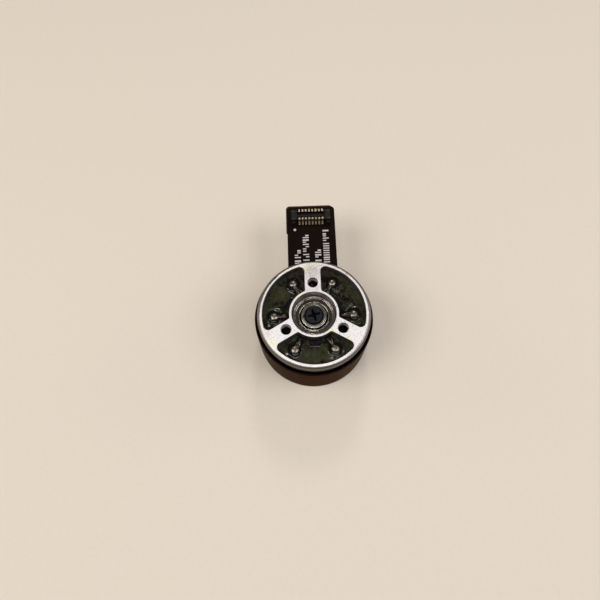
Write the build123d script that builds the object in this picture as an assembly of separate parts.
from build123d import *
import os
from math import pi

# Flat outrunner brushless motor with a flex-circuit tail, in millimetres.
# It stands on its rotor bell. The origin is on the motor's axis, in the bell's bottom face.
# +Z runs up the shaft to the fixed base, and the flex tail leaves towards +Y.

# ---- driving dimensions ----
TOTAL_HEIGHT = 8.3

# stator base
RIM_RADIUS = 6.04  # outer edge of the flat top face
FLANGE_RADIUS = 6.42
FLANGE_THICKNESS = 0.98
WINDOW_OUTER_RADIUS = 5.83
HUB_RADIUS = 2.82
SPOKE_WIDTH = 1.88
SPOKE_THICKNESS = 1.1
SPOKE_PAD_REACH = 4.3  # how far out the thick part of a spoke goes
SPOKE_ANGLES = (90, 210, 330)
WINDOW_OUTER_CORNER = 0.55
WINDOW_INNER_CORNER = 0.3
MOUNT_HOLE_RADIUS = 0.58  # tapped M1.2
MOUNT_CIRCLE_RADIUS = 3.66
EDGE_BREAK = 0.08
FINE_BREAK = 0.05  # smallest broken edges and small running gaps
TOP_BREAK = 0.04  # round the windows and holes of the top face
OVERCUT = 0.1  # how far a cutting shape runs past what it cuts

# bearings, 2 x 5 x 2.5 mm
BEARING_BORE_RADIUS = 1.0
BEARING_RADIUS = 2.5
BEARING_WIDTH = 2.5
INNER_RING_RADIUS = 1.45
OUTER_RING_INNER_RADIUS = 2.15
UPPER_BEARING_TOP = 7.22
LOWER_BEARING_TOP = 3.66
BALL_RADIUS = 0.38
BALL_COUNT = 8
GROOVE_RADIUS = 0.42
SHIELD_POCKET_RADIUS = 2.26
SHIELD_INNER_RADIUS = 1.6
SHIELD_LIP_RADIUS = 1.7  # outside the raised inner band
SHIELD_THICKNESS = 0.06
SHIELD_LIP_HEIGHT = 0.08
SHIELD_RECESS = 0.16
SNAP_WIRE_RADIUS = 0.06
SNAP_WIRE_CIRCLE = 2.14
SNAP_WIRE_GAP = 24  # degrees
UPPER_WIRE_START = 94  # degrees, where the wire over the upper side of a bearing begins
LOWER_WIRE_START = 40
CAGE_INNER_RADIUS = 1.64
CAGE_OUTER_RADIUS = 1.98
CAGE_HEIGHT = 0.66
CAGE_POCKET_RADIUS = 0.4

# rotor
BELL_RADIUS = 6.79
BELL_WALL = 0.47
BELL_RIM = 6.7  # height of the open edge
BELL_RIM_BEVEL = 0.34  # inner bevel at the open edge
BELL_FLOOR = 0.9
BELL_FLOOR_BEVEL = 0.4
BELL_CHAMFER = 0.2
BELL_BOSS_RADIUS = 1.4
BELL_RECESS_RADIUS = 2.1  # shallow locating recess round the shaft end
BELL_RECESS_DEPTH = 0.2
OUTPUT_HOLE_COUNT = 4
OUTPUT_FIRST_HOLE = 45  # degrees
OUTPUT_CIRCLE_RADIUS = 4.6
OUTPUT_HOLE_RADIUS = 0.6
MAGNET_COUNT = 12
MAGNET_THICKNESS = 0.7
MAGNET_BOTTOM = 1.9
MAGNET_HEIGHT = 3.8
MAGNET_GAP = 0.14
SHAFT_RADIUS = 1.0
SHAFT_BOTTOM = 0.2
SHAFT_CHAMFER = 0.1
SCREW_THREAD_RADIUS = 0.6
SCREW_THREAD_LENGTH = 2.4
TAP_SPARE = 0.2  # tapped depth past the screw's end
SCREW_HEAD_RADIUS = 0.96
SCREW_HEAD_HEIGHT = 0.3
SCREW_HEAD_ROUNDING = 0.14
CROSS_WIDTH = 0.3
CROSS_LENGTH = 1.48
CROSS_DEPTH = 0.25
CROSS_ANGLE = 15  # degrees
WASHER_RADIUS = 1.33
WASHER_INNER_RADIUS = 0.66
WASHER_THICKNESS = 0.15
WASHER_GAP = 0.2

# stator core and windings
TOOTH_COUNT = 9
FIRST_TOOTH = 10  # degrees from +X
CORE_RADIUS = 5.28
CORE_YOKE_RADIUS = 3.6
CORE_TIP_INNER_RADIUS = 4.86
CORE_BOTTOM = 2.4
CORE_TOP = 5.2
TOOTH_WIDTH = 1.0
SLOT_OPENING = 0.5
INSULATOR_THICKNESS = 0.2
INSULATOR_MARGIN = 0.06
COIL_INNER_RADIUS = 3.68
COIL_OUTER_RADIUS = 4.7
COIL_THICKNESS = 0.55
COIL_CORNER = 0.3
LEAD_RADIUS = 0.12

# circuit board, sensors and joints
PCB_THICKNESS = 0.18
PCB_INNER_RADIUS = 3.1
PCB_RADIUS = 6.2
PCB_NOTCH_WIDTH = 1.35
PCB_NOTCH_RADIUS = 3.46
PCB_SCREW_CLEARANCE = 0.78
JOINT_ANGLES = (0, 60, 120, 180, 240, 300)
JOINT_CIRCLE_RADIUS = 4.55
JOINT_RADIUS = 0.48
JOINT_HEIGHT = 0.3
LEAD_HOLE_RADIUS = 0.2
SENSOR_SIZE = (1.0, 0.8, 0.42)
SENSOR_ANGLES = (202.5, 217.5)
SENSOR_CIRCLE_RADIUS = 5.3

# flex tail and its connector
FLEX_WIDTH = 5.83
FLEX_CENTRE_X = 0.12
FLEX_THICKNESS = 0.1
FLEX_START_Y = 5.0
FLEX_END_Y = 14.24
FLEX_CORNER = 0.45
STIFFENER_LENGTH = 3.7
STIFFENER_THICKNESS = 0.2
STIFFENER_SETBACK = 0.22  # how far its +X edge stays inside the tail's
STIFFENER_STEP = 0.12  # how far its -X edge runs past the tail's
STIFFENER_OVERHANG = 0.22  # how far it runs past the tail's end
CONNECTOR_Y = 12.85
CONNECTOR_LENGTH = 4.75
CONNECTOR_HEIGHT = 0.62
CONNECTOR_BASE = 0.16
END_BLOCK_WIDTH = 1.28
END_BLOCK_GAP = 0.3  # from the last contact's middle to the end block
HOUSING_STEP = 0.02  # how far the housing stays below the metal that goes over it
WALL_INNER_Y = 0.44
WALL_OUTER_Y = 0.6
RIB_HALF_WIDTH = 0.1
RIB_HEIGHT = 0.35
CONTACT_PITCH = 0.4
CONTACTS_PER_ROW = 8
CONTACT_WIDTH = 0.2
CONTACT_THICKNESS = 0.05
CONTACT_TAIL_END = 1.08
FITTING_X = 2.12
FITTING_WIDTH = 0.4
FITTING_FOOT = 0.18
FITTING_LIP = 0.2

# ---- values that follow ----
FLANGE_BOTTOM = TOTAL_HEIGHT - FLANGE_THICKNESS
SPOKE_BOTTOM = TOTAL_HEIGHT - SPOKE_THICKNESS
PCB_TOP = SPOKE_BOTTOM
PCB_BOTTOM = PCB_TOP - PCB_THICKNESS
FLEX_TOP = PCB_BOTTOM
FLEX_BOTTOM = FLEX_TOP - FLEX_THICKNESS
FLEX_LEFT = FLEX_CENTRE_X - FLEX_WIDTH / 2
FLEX_RIGHT = FLEX_CENTRE_X + FLEX_WIDTH / 2
UPPER_BEARING_BOTTOM = UPPER_BEARING_TOP - BEARING_WIDTH
LOWER_BEARING_BOTTOM = LOWER_BEARING_TOP - BEARING_WIDTH
TUBE_BOTTOM = LOWER_BEARING_BOTTOM
BALL_CIRCLE_RADIUS = (INNER_RING_RADIUS + OUTER_RING_INNER_RADIUS) / 2
BELL_INNER_RADIUS = BELL_RADIUS - BELL_WALL
MAGNET_INNER_RADIUS = BELL_INNER_RADIUS - MAGNET_THICKNESS
WASHER_TOP = UPPER_BEARING_TOP + WASHER_THICKNESS
SHAFT_TOP = UPPER_BEARING_TOP - EDGE_BREAK
CONNECTOR_END_X = CONTACT_PITCH * (CONTACTS_PER_ROW - 1) / 2 + END_BLOCK_GAP


def cylinder(radius, bottom, top, x=0, y=0):
    """An upright cylinder between two heights."""
    return Pos(x, y, bottom) * extrude(Circle(radius), amount=top - bottom)


def ring(outer, inner, bottom, top):
    """An upright tube between two heights."""
    return Pos(0, 0, bottom) * extrude(Circle(outer) - Circle(inner), amount=top - bottom)


def block(x0, x1, y0, y1, z0, z1):
    """A rectangular block between two corners."""
    size = Box(abs(x1 - x0), abs(y1 - y0), abs(z1 - z0))
    return Pos((x0 + x1) / 2, (y0 + y1) / 2, (z0 + z1) / 2) * size


def turned(*points):
    """A closed outline of (radius, height) points, turned about the motor's axis."""
    outline = [(r, 0, z) for r, z in points]
    return revolve(make_face(Polyline(*outline, close=True)), Axis.Z)


def around(shape, angles):
    """Copies of a shape turned to each angle about the motor's axis."""
    return [Rot(0, 0, angle) * shape for angle in angles]


def evenly(count, first=0.0):
    """Angles of a full circle divided evenly."""
    return [first + 360 * i / count for i in range(count)]


# ---- fixed side ----
def flange_blank():
    """The turned blank: flange with a rounded edge, hub and bearing tube with its inner shoulder."""
    top = TOTAL_HEIGHT
    round_over = FLANGE_RADIUS - RIM_RADIUS
    flange = turned(
        (HUB_RADIUS, top),
        (FLANGE_RADIUS, top),
        (FLANGE_RADIUS, FLANGE_BOTTOM + EDGE_BREAK),
        (FLANGE_RADIUS - EDGE_BREAK, FLANGE_BOTTOM),
        (HUB_RADIUS, FLANGE_BOTTOM),
    )
    rim = [e for e in flange.edges().group_by(Axis.Z)[-1] if e.radius > WINDOW_OUTER_RADIUS]
    flange = fillet(rim, round_over)
    tube = turned(
        (BEARING_RADIUS + FINE_BREAK, top),
        (HUB_RADIUS, top),
        (HUB_RADIUS, TUBE_BOTTOM),
        (BEARING_RADIUS, TUBE_BOTTOM),
        (BEARING_RADIUS, LOWER_BEARING_TOP),
        (OUTER_RING_INNER_RADIUS, LOWER_BEARING_TOP),
        (OUTER_RING_INNER_RADIUS, UPPER_BEARING_BOTTOM),
        (BEARING_RADIUS, UPPER_BEARING_BOTTOM),
        (BEARING_RADIUS, top - FINE_BREAK),
    )
    return flange + tube


def window_cuts():
    """The three openings between the spokes, with rounded corners."""
    field = Circle(WINDOW_OUTER_RADIUS) - Circle(HUB_RADIUS)
    spoke = Pos(WINDOW_OUTER_RADIUS / 2, 0) * Rectangle(WINDOW_OUTER_RADIUS + 2 * OVERCUT, SPOKE_WIDTH)
    for angle in SPOKE_ANGLES:
        field -= Rot(0, 0, angle) * spoke
    middle = (WINDOW_OUTER_RADIUS + HUB_RADIUS) / 2
    outer = [v for v in field.vertices() if (v.X**2 + v.Y**2) ** 0.5 > middle]
    field = fillet(outer, WINDOW_OUTER_CORNER)
    inner = [v for v in field.vertices() if (v.X**2 + v.Y**2) ** 0.5 < HUB_RADIUS + OVERCUT]
    field = fillet(inner, WINDOW_INNER_CORNER)
    return Pos(0, 0, FLANGE_BOTTOM - OVERCUT) * extrude(field, amount=FLANGE_THICKNESS + 2 * OVERCUT)


def stator_base():
    """Machined base: blank with windows, spoke pads that the board seats on, and tapped holes."""
    base = flange_blank() - window_cuts()
    half = SPOKE_WIDTH / 2
    inside = HUB_RADIUS - FINE_BREAK
    pad = block(inside - half, SPOKE_PAD_REACH, -half, half, SPOKE_BOTTOM, FLANGE_BOTTOM)
    pad -= cylinder(inside, SPOKE_BOTTOM, FLANGE_BOTTOM)
    hole = cylinder(MOUNT_HOLE_RADIUS, SPOKE_BOTTOM, TOTAL_HEIGHT, x=MOUNT_CIRCLE_RADIUS)
    for piece in around(pad, SPOKE_ANGLES):
        base += piece
    for piece in around(hole, SPOKE_ANGLES):
        base -= piece
    turned_length = 2 * pi * BEARING_RADIUS  # the rim and the bore's mouth have breaks of their own
    milled = [e for e in base.edges().group_by(Axis.Z)[-1] if e.length < turned_length]
    return chamfer(milled, TOP_BREAK)


def core_section():
    """One lamination: a ring with nine T-shaped teeth."""
    section = Circle(CORE_YOKE_RADIUS)
    tooth = Pos(CORE_TIP_INNER_RADIUS / 2, 0) * Rectangle(CORE_TIP_INNER_RADIUS + 2 * OVERCUT, TOOTH_WIDTH)
    for angle in evenly(TOOTH_COUNT, FIRST_TOOTH):
        section += Rot(0, 0, angle) * tooth
    tips = Circle(CORE_RADIUS) - Circle(CORE_TIP_INNER_RADIUS)
    tip_depth = CORE_RADIUS - CORE_TIP_INNER_RADIUS
    opening = Pos(CORE_RADIUS, 0) * Rectangle(2 * (tip_depth + OVERCUT), SLOT_OPENING)
    for angle in evenly(TOOTH_COUNT, FIRST_TOOTH + 180 / TOOTH_COUNT):
        tips -= Rot(0, 0, angle) * opening
    return section + tips - Circle(HUB_RADIUS)


def slot_insulator(bottom):
    """Insulating end plate of the core's outline, a little inside its edge."""
    trimmed = core_section() & Circle(CORE_RADIUS - INSULATOR_MARGIN)
    return Pos(0, 0, bottom) * extrude(trimmed, amount=INSULATOR_THICKNESS)


def coil():
    """One coil: a rounded rectangular ring round the tooth that points along +X."""
    inner_bottom = CORE_BOTTOM - INSULATOR_THICKNESS
    inner_top = CORE_TOP + INSULATOR_THICKNESS
    width = TOOTH_WIDTH + 2 * COIL_THICKNESS
    height = inner_top - inner_bottom + 2 * COIL_THICKNESS
    middle = (inner_top + inner_bottom) / 2
    outline = RectangleRounded(width, height, COIL_CORNER)
    outline -= Rectangle(TOOTH_WIDTH, inner_top - inner_bottom)
    plane = Plane(origin=(COIL_INNER_RADIUS, 0, middle), x_dir=(0, 1, 0), z_dir=(1, 0, 0))
    return extrude(plane * outline, amount=COIL_OUTER_RADIUS - COIL_INNER_RADIUS)


def phase_coils(phase):
    """The three coils of one phase, 120 degrees apart."""
    angles = evenly(3, FIRST_TOOTH + 360 / TOOTH_COUNT * phase)
    return Compound(children=around(coil(), angles))


def coil_leads():
    """Six wire ends from the windings up through the board."""
    start = CORE_TOP + INSULATOR_THICKNESS + COIL_THICKNESS
    lead = cylinder(LEAD_RADIUS, start, PCB_TOP, x=JOINT_CIRCLE_RADIUS)
    return Compound(children=around(lead, JOINT_ANGLES))


def solder_joints():
    """Six domed joints on the board, one over each wire end."""
    foot = JOINT_RADIUS
    dome_radius = (foot**2 + JOINT_HEIGHT**2) / (2 * JOINT_HEIGHT)
    ball = Pos(0, 0, PCB_TOP + JOINT_HEIGHT - dome_radius) * Sphere(dome_radius)
    dome = Pos(JOINT_CIRCLE_RADIUS, 0, 0) * (ball & cylinder(foot + OVERCUT, PCB_TOP, PCB_TOP + JOINT_HEIGHT))
    return Compound(children=around(dome, JOINT_ANGLES))


def board_ring(bottom, top):
    """Ring with three inner notches, lead holes and screw clearance holes."""
    board = ring(PCB_RADIUS, PCB_INNER_RADIUS, bottom, top)
    half = PCB_NOTCH_WIDTH / 2
    notch = block(PCB_INNER_RADIUS - half, PCB_NOTCH_RADIUS, -half, half, bottom, top)
    screw = cylinder(PCB_SCREW_CLEARANCE, bottom, top, x=MOUNT_CIRCLE_RADIUS)
    lead = cylinder(LEAD_HOLE_RADIUS, bottom, top, x=JOINT_CIRCLE_RADIUS)
    for angle in SPOKE_ANGLES:
        board -= Rot(0, 0, angle) * screw
        board -= Rot(0, 0, angle - 60) * notch
    for piece in around(lead, JOINT_ANGLES):
        board -= piece
    return board


def hall_sensors():
    """Two position sensors under the flex circuit, close to the magnets' inner edge."""
    length, width, height = SENSOR_SIZE
    body = Box(length, width, height)
    body = chamfer(body.faces().sort_by(Axis.Z)[0].edges(), EDGE_BREAK)
    placed = Pos(SENSOR_CIRCLE_RADIUS - length / 2, 0, FLEX_BOTTOM - height / 2) * body
    return Compound(children=around(placed, SENSOR_ANGLES))


def rounded_strip(left, right, start_y, end_y):
    """Flat strip along +Y with rounded corners at its far end."""
    middle = Pos((left + right) / 2, (start_y + end_y) / 2)
    strip = middle * Rectangle(right - left, end_y - start_y)
    end = strip.vertices().group_by(Axis.Y)[-1]
    return fillet(end, FLEX_CORNER)


def flex_tail():
    """Flex circuit: a ring laminated under the board, and a tail out over the bell's open edge."""
    strip = rounded_strip(FLEX_LEFT, FLEX_RIGHT, FLEX_START_Y, FLEX_END_Y)
    tail = Pos(0, 0, FLEX_BOTTOM) * extrude(strip, amount=FLEX_THICKNESS)
    return board_ring(FLEX_BOTTOM, FLEX_TOP) + tail


def flex_stiffener():
    """Backing plate under the connector, a little longer than the tail and a little off to one side."""
    end = FLEX_END_Y + STIFFENER_OVERHANG
    left, right = FLEX_LEFT - STIFFENER_STEP, FLEX_RIGHT - STIFFENER_SETBACK
    plate = rounded_strip(left, right, end - STIFFENER_LENGTH, end)
    return Pos(0, 0, FLEX_BOTTOM - STIFFENER_THICKNESS) * extrude(plate, amount=STIFFENER_THICKNESS)


def contact():
    """One contact on the +Y side: tail on the flex circuit, up the wall, over it and down inside."""
    half = CONTACT_WIDTH / 2
    thick = CONTACT_THICKNESS
    outer = WALL_OUTER_Y + thick
    inner = WALL_INNER_Y - thick
    rise = CONNECTOR_HEIGHT
    strip = block(-half, half, WALL_OUTER_Y, CONTACT_TAIL_END, 0, thick)
    strip += block(-half, half, WALL_OUTER_Y, outer, 0, rise)
    strip += block(-half, half, inner, outer, rise - thick, rise)
    strip += block(-half, half, inner, WALL_INNER_Y, CONNECTOR_BASE, rise)
    return strip


def contact_row_positions():
    """Positions along the connector of the contacts in one row."""
    first = -CONTACT_PITCH * (CONTACTS_PER_ROW - 1) / 2
    return [first + CONTACT_PITCH * i for i in range(CONTACTS_PER_ROW)]


def fitting():
    """One end hold-down: a strip under the end block that comes up both sides and over its edges."""
    half = FITTING_WIDTH / 2
    thick = CONTACT_THICKNESS
    side = END_BLOCK_WIDTH / 2
    rise = CONNECTOR_HEIGHT
    strip = block(-half, half, -side - FITTING_FOOT, side + FITTING_FOOT, 0, thick)
    for sign in (-1, 1):
        strip += block(-half, half, sign * (side - thick), sign * side, 0, rise)
        strip += block(-half, half, sign * (side - FITTING_LIP), sign * side, rise - thick, rise)
    return strip


def connector_body():
    """Housing: base, two long walls, a low middle rib and two end blocks."""
    half_length = CONNECTOR_LENGTH / 2
    side = END_BLOCK_WIDTH / 2
    rise = CONNECTOR_HEIGHT - HOUSING_STEP
    body = block(-half_length, half_length, -WALL_OUTER_Y, WALL_OUTER_Y, 0, CONNECTOR_BASE)
    body += block(-CONNECTOR_END_X, CONNECTOR_END_X, -RIB_HALF_WIDTH, RIB_HALF_WIDTH, 0, RIB_HEIGHT)
    for sign in (-1, 1):
        wall = (sign * WALL_INNER_Y, sign * WALL_OUTER_Y)
        body += block(-CONNECTOR_END_X, CONNECTOR_END_X, *wall, 0, rise)
        ends = (sign * CONNECTOR_END_X, sign * half_length)
        body += block(*ends, -side, side, 0, rise)
    return body


def connector_pieces():
    """Housing, contacts and end fittings of the two-row connector, on the flex circuit."""
    place = Pos(FLEX_CENTRE_X, CONNECTOR_Y, FLEX_TOP)
    contacts = []
    for x in contact_row_positions():
        contacts.append(Pos(x, 0, 0) * contact())
        contacts.append(Pos(x, 0, 0) * Rot(0, 0, 180) * contact())
    fittings = [Pos(sign * FITTING_X, 0, 0) * fitting() for sign in (-1, 1)]
    housing = connector_body()
    for piece in contacts + fittings:
        housing -= piece
    return place * housing, [place * c for c in contacts], [place * f for f in fittings]


# ---- bearings ----
def bearing_groove(middle):
    """Ring-shaped ball groove shared by both rings of a bearing."""
    return Pos(0, 0, middle) * Torus(BALL_CIRCLE_RADIUS, GROOVE_RADIUS)


def shield_pocket(bottom, top):
    """Space at both ends of the outer ring that takes the shields and their wires."""
    depth = SHIELD_RECESS + SHIELD_THICKNESS
    lower = cylinder(SHIELD_POCKET_RADIUS, bottom, bottom + depth)
    return lower + cylinder(SHIELD_POCKET_RADIUS, top - depth, top)


def outer_ring(bottom):
    """Outer ring with its groove and shield pockets."""
    top = bottom + BEARING_WIDTH
    body = turned(
        (OUTER_RING_INNER_RADIUS, bottom),
        (BEARING_RADIUS - FINE_BREAK, bottom),
        (BEARING_RADIUS, bottom + FINE_BREAK),
        (BEARING_RADIUS, top - FINE_BREAK),
        (BEARING_RADIUS - FINE_BREAK, top),
        (OUTER_RING_INNER_RADIUS, top),
    )
    return body - bearing_groove(bottom + BEARING_WIDTH / 2) - shield_pocket(bottom, top)


def inner_ring(bottom):
    """Inner ring with its groove and broken edges."""
    top = bottom + BEARING_WIDTH
    body = turned(
        (BEARING_BORE_RADIUS, bottom),
        (INNER_RING_RADIUS - EDGE_BREAK, bottom),
        (INNER_RING_RADIUS, bottom + EDGE_BREAK),
        (INNER_RING_RADIUS, top - EDGE_BREAK),
        (INNER_RING_RADIUS - EDGE_BREAK, top),
        (BEARING_BORE_RADIUS, top),
    )
    return body - bearing_groove(bottom + BEARING_WIDTH / 2)


def shield(face, outwards):
    """One shield with a raised inner band. It lies inside a bearing face; outwards is 1 or -1."""
    band = face - outwards * (SHIELD_RECESS - SHIELD_LIP_HEIGHT)
    flat = face - outwards * SHIELD_RECESS
    thick = outwards * SHIELD_THICKNESS
    slope_end = SHIELD_LIP_RADIUS + SHIELD_LIP_HEIGHT
    return turned(
        (SHIELD_INNER_RADIUS, band),
        (SHIELD_LIP_RADIUS, band),
        (slope_end, flat),
        (SHIELD_POCKET_RADIUS, flat),
        (SHIELD_POCKET_RADIUS, flat - thick),
        (slope_end - thick * outwards / 2, flat - thick),
        (SHIELD_LIP_RADIUS - thick * outwards / 2, band - thick),
        (SHIELD_INNER_RADIUS, band - thick),
    )


def shields(bottom):
    """Two thin shields that stop just short of the inner ring."""
    return Compound(children=[shield(bottom, -1), shield(bottom + BEARING_WIDTH, 1)])


def snap_wire(height, first):
    """An open round wire ring that holds a shield."""
    section = Pos(SNAP_WIRE_CIRCLE, 0, height) * Rot(90, 0, 0) * Circle(SNAP_WIRE_RADIUS)
    wire = revolve(section, Axis.Z, revolution_arc=360 - SNAP_WIRE_GAP)
    return Rot(0, 0, first) * wire


def snap_wires(bottom):
    """One wire outside each shield of a bearing."""
    top = bottom + BEARING_WIDTH
    clear = SHIELD_RECESS - SNAP_WIRE_RADIUS
    pair = [snap_wire(bottom + clear, LOWER_WIRE_START), snap_wire(top - clear, UPPER_WIRE_START)]
    return Compound(children=pair)


def balls(bottom):
    """The ring of balls."""
    middle = bottom + BEARING_WIDTH / 2
    ball = Pos(BALL_CIRCLE_RADIUS, 0, middle) * Sphere(BALL_RADIUS)
    return Compound(children=around(ball, evenly(BALL_COUNT)))


def cage(bottom):
    """Crown cage with a round pocket for each ball."""
    middle = bottom + BEARING_WIDTH / 2
    body = ring(CAGE_OUTER_RADIUS, CAGE_INNER_RADIUS, middle - CAGE_HEIGHT / 2, middle + CAGE_HEIGHT)
    pocket = Pos(BALL_CIRCLE_RADIUS, 0, middle) * Sphere(CAGE_POCKET_RADIUS)
    for piece in around(pocket, evenly(BALL_COUNT)):
        body -= piece
    return body


# ---- turning side ----
def rotor_bell():
    """Steel cup with a boss for the shaft, a locating recess and tapped output holes."""
    bell = turned(
        (SHAFT_RADIUS, BELL_RECESS_DEPTH),
        (BELL_RECESS_RADIUS, BELL_RECESS_DEPTH),
        (BELL_RECESS_RADIUS, 0),
        (BELL_RADIUS - BELL_CHAMFER, 0),
        (BELL_RADIUS, BELL_CHAMFER),
        (BELL_RADIUS, BELL_RIM - EDGE_BREAK),
        (BELL_RADIUS - EDGE_BREAK, BELL_RIM),
        (BELL_INNER_RADIUS + BELL_RIM_BEVEL, BELL_RIM),
        (BELL_INNER_RADIUS, BELL_RIM - BELL_RIM_BEVEL),
        (BELL_INNER_RADIUS, BELL_FLOOR + BELL_FLOOR_BEVEL),
        (BELL_INNER_RADIUS - BELL_FLOOR_BEVEL, BELL_FLOOR),
        (BELL_BOSS_RADIUS, BELL_FLOOR),
        (BELL_BOSS_RADIUS, LOWER_BEARING_BOTTOM),
        (SHAFT_RADIUS, LOWER_BEARING_BOTTOM),
    )
    hole = cylinder(OUTPUT_HOLE_RADIUS, -OVERCUT, BELL_FLOOR + OVERCUT, x=OUTPUT_CIRCLE_RADIUS)
    for piece in around(hole, evenly(OUTPUT_HOLE_COUNT, OUTPUT_FIRST_HOLE)):
        bell -= piece
    return bell


def rotor_magnets():
    """Twelve arc magnets with a small gap between neighbours."""
    full = Circle(BELL_INNER_RADIUS) - Circle(MAGNET_INNER_RADIUS)
    half_pitch = 180 / MAGNET_COUNT
    cutter = Pos(BELL_INNER_RADIUS, 0) * Rectangle(4 * MAGNET_THICKNESS, MAGNET_GAP)
    for angle in evenly(MAGNET_COUNT, half_pitch):
        full -= Rot(0, 0, angle) * cutter
    segments = [Pos(0, 0, MAGNET_BOTTOM) * extrude(face, amount=MAGNET_HEIGHT) for face in full.faces()]
    return Compound(children=segments)


def motor_shaft():
    """Ground shaft, tapped from the top for the centre screw."""
    shaft = turned(
        (0, SHAFT_BOTTOM),
        (SHAFT_RADIUS - SHAFT_CHAMFER, SHAFT_BOTTOM),
        (SHAFT_RADIUS, SHAFT_BOTTOM + SHAFT_CHAMFER),
        (SHAFT_RADIUS, SHAFT_TOP - SHAFT_CHAMFER),
        (SHAFT_RADIUS - SHAFT_CHAMFER, SHAFT_TOP),
        (0, SHAFT_TOP),
    )
    depth = WASHER_TOP - SCREW_THREAD_LENGTH - TAP_SPARE
    return shaft - cylinder(SCREW_THREAD_RADIUS, depth, SHAFT_TOP)


def bearing_spacer():
    """Tube between the two inner rings."""
    return ring(INNER_RING_RADIUS - FINE_BREAK, SHAFT_RADIUS, LOWER_BEARING_TOP, UPPER_BEARING_BOTTOM)


def split_lock_washer():
    """Split washer on the upper inner ring, with its gap towards -X."""
    washer = ring(WASHER_RADIUS, WASHER_INNER_RADIUS, UPPER_BEARING_TOP, WASHER_TOP)
    half = WASHER_GAP / 2
    return washer - block(-WASHER_RADIUS, 0, -half, half, UPPER_BEARING_TOP, WASHER_TOP)


def centre_screw():
    """Pan-head screw with a cross recess."""
    top = WASHER_TOP + SCREW_HEAD_HEIGHT
    head = cylinder(SCREW_HEAD_RADIUS, WASHER_TOP, top)
    head = fillet(head.edges().sort_by(Axis.Z)[-1], SCREW_HEAD_ROUNDING)
    screw = head + cylinder(SCREW_THREAD_RADIUS, WASHER_TOP - SCREW_THREAD_LENGTH, WASHER_TOP)
    half_width = CROSS_WIDTH / 2
    half_length = CROSS_LENGTH / 2
    bar = block(-half_length, half_length, -half_width, half_width, top - CROSS_DEPTH, top)
    for piece in around(bar, (CROSS_ANGLE, CROSS_ANGLE + 90)):
        screw -= piece
    return screw


def bearing_nodes(side, bottom):
    """All the pieces of one bearing, by node name."""
    return {
        f"{side}_bearing_outer_ring": outer_ring(bottom),
        f"{side}_bearing_inner_ring": inner_ring(bottom),
        f"{side}_bearing_shields": shields(bottom),
        f"{side}_bearing_snap_wires": snap_wires(bottom),
        f"{side}_bearing_balls": balls(bottom),
        f"{side}_bearing_cage": cage(bottom),
    }


def build():
    """Every sub-part, by node name."""
    housing, contacts, fittings = connector_pieces()
    nodes = {
        "stator_base": stator_base(),
        "stator_core": Pos(0, 0, CORE_BOTTOM) * extrude(core_section(), amount=CORE_TOP - CORE_BOTTOM),
        "upper_slot_insulator": slot_insulator(CORE_TOP),
        "lower_slot_insulator": slot_insulator(CORE_BOTTOM - INSULATOR_THICKNESS),
        "phase_a_coils": phase_coils(0),
        "phase_b_coils": phase_coils(1),
        "phase_c_coils": phase_coils(2),
        "coil_leads": coil_leads(),
        "solder_joints": solder_joints(),
        "stator_pcb": board_ring(PCB_BOTTOM, PCB_TOP),
        "hall_sensors": hall_sensors(),
        "flex_tail": flex_tail(),
        "flex_stiffener": flex_stiffener(),
        "connector_housing": housing,
        "connector_contacts": Compound(children=contacts),
        "connector_fittings": Compound(children=fittings),
        "rotor_bell": rotor_bell(),
        "rotor_magnets": rotor_magnets(),
        "motor_shaft": motor_shaft(),
        "bearing_spacer": bearing_spacer(),
        "split_lock_washer": split_lock_washer(),
        "centre_screw": centre_screw(),
    }
    nodes.update(bearing_nodes("upper", UPPER_BEARING_BOTTOM))
    nodes.update(bearing_nodes("lower", LOWER_BEARING_BOTTOM))
    return nodes


os.makedirs("parts", exist_ok=True)
for name, shape in build().items():
    export_step(shape, f"parts/{name}.step")
